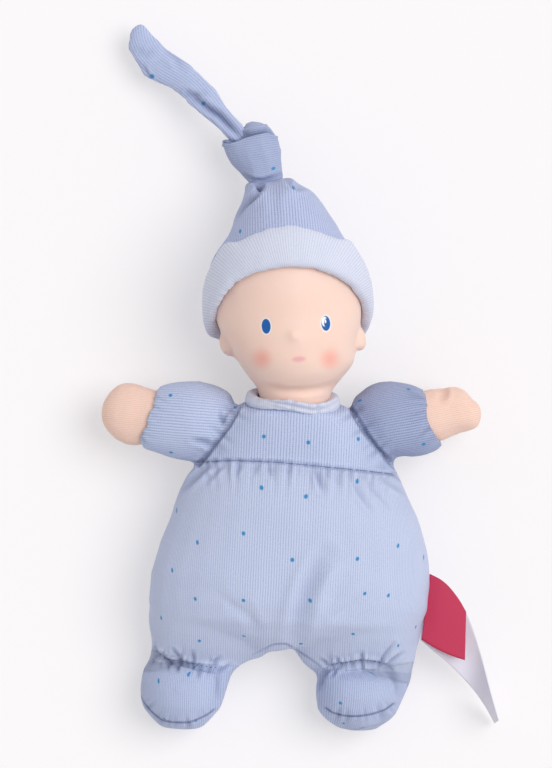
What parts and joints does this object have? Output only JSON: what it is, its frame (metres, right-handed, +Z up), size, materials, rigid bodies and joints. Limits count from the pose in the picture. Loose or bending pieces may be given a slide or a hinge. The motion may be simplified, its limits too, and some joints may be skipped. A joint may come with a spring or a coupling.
{
  "type": "rubber-headed stuffed doll",
  "caption": "Lying baby doll with a hollow moulded rubber head, stuffed jersey romper body with hinged limbs, and a knotted pull-off cap.",
  "frame": {"origin": "middle of the flat patch under the seat that the doll lies on", "axes": "+X to the doll's left, +Y from the feet to the head, +Z up out of the chest; the doll lies on its back"},
  "size_m": [0.1728, 0.295, 0.0762],
  "materials": {
    "jersey": "pale blue single jersey knit with fine vertical ribs and small teal pin dots",
    "pale_jersey": "paler plain jersey knit",
    "skin_jersey": "skin-coloured jersey knit",
    "skin_rubber": "satin moulded natural rubber, painted eyes, mouth and blush",
    "filling": "loose polyester fibre filling",
    "thread": "sewing thread",
    "crimson_tape": "woven satin tape, bare",
    "white_tape": "woven satin tape, bare"
  },
  "bodies": {
    "torso": {"bodice_front": "jersey", "bodice_back": "jersey", "romper_front": "jersey", "romper_back": "jersey", "body_filling": "filling", "neck_collar": "pale_jersey"},
    "neck": {"neck_tie": "thread"},
    "head": {"head": "skin_rubber"},
    "hat": {"hat_crown": "jersey", "hat_cuff": "pale_jersey", "hat_knot": "jersey"},
    "tail": {"hat_tail": "jersey"},
    "labels": {"side_label": "crimson_tape", "care_label": "white_tape"},
    "right_arm": {"right_sleeve": "jersey", "right_arm_filling": "filling", "right_hand": "skin_jersey"},
    "right_leg": {"right_leg": "jersey", "right_leg_filling": "filling"},
    "right_foot": {"right_foot": "jersey", "right_foot_filling": "filling", "right_ankle_thread": "thread"},
    "left_arm": {"left_sleeve": "jersey", "left_arm_filling": "filling", "left_hand": "skin_jersey"},
    "left_leg": {"left_leg": "jersey", "left_leg_filling": "filling"},
    "left_foot": {"left_foot": "jersey", "left_foot_filling": "filling", "left_ankle_thread": "thread"}
  },
  "joints": [
    {"name": "neck_nod", "type": "hinge", "parent": "torso", "child": "neck", "pos_m": [-0.001, 0.066, 0.036], "axis": [1, 0, 0], "range_deg": [-4, 10]},
    {"name": "neck_turn", "type": "hinge", "parent": "neck", "child": "head", "pos_m": [-0.001, 0.066, 0.036], "axis": [-0.1045, 0.9945, 0], "range_deg": [-40, 40]},
    {"name": "hat_pull", "type": "slide", "parent": "head", "child": "hat", "axis": [-0.1045, 0.9945, 0], "range_m": [0, 0.1]},
    {"name": "tail_swing", "type": "hinge", "parent": "hat", "child": "tail", "pos_m": [-0.03104, 0.18035, 0.02], "axis": [0, 0, 1], "range_deg": [-35, 35]},
    {"name": "label_flex", "type": "hinge", "parent": "left_leg", "child": "labels", "pos_m": [0.0594, -0.017, 0.0245], "axis": [0, -1, 0], "range_deg": [-12, 70], "stiffness_Nm_per_rad": 0.0006},
    {"name": "right_shoulder", "type": "hinge", "parent": "torso", "child": "right_arm", "pos_m": [-0.041, 0.0575, 0.027], "axis": [0.5447, 0.8386, 0], "range_deg": [-15, 60], "stiffness_Nm_per_rad": 0.03},
    {"name": "right_hip", "type": "hinge", "parent": "torso", "child": "right_leg", "pos_m": [0, -0.03517, 0.049], "axis": [-0.8386, 0.5447, 0], "range_deg": [0, 38], "stiffness_Nm_per_rad": 0.1},
    {"name": "right_ankle", "type": "hinge", "parent": "right_leg", "child": "right_foot", "pos_m": [-0.0385, -0.045, 0.0282], "axis": [-1, 0, 0], "range_deg": [0, 35], "stiffness_Nm_per_rad": 0.03},
    {"name": "left_shoulder", "type": "hinge", "parent": "torso", "child": "left_arm", "pos_m": [0.041, 0.0575, 0.027], "axis": [0.5447, -0.8386, 0], "range_deg": [-15, 60], "stiffness_Nm_per_rad": 0.03},
    {"name": "left_hip", "type": "hinge", "parent": "torso", "child": "left_leg", "pos_m": [0, -0.03517, 0.049], "axis": [-0.8386, -0.5447, 0], "range_deg": [0, 38], "stiffness_Nm_per_rad": 0.1},
    {"name": "left_ankle", "type": "hinge", "parent": "left_leg", "child": "left_foot", "pos_m": [0.0315, -0.045, 0.0282], "axis": [-1, 0, 0], "range_deg": [0, 35], "stiffness_Nm_per_rad": 0.03}
  ]
}
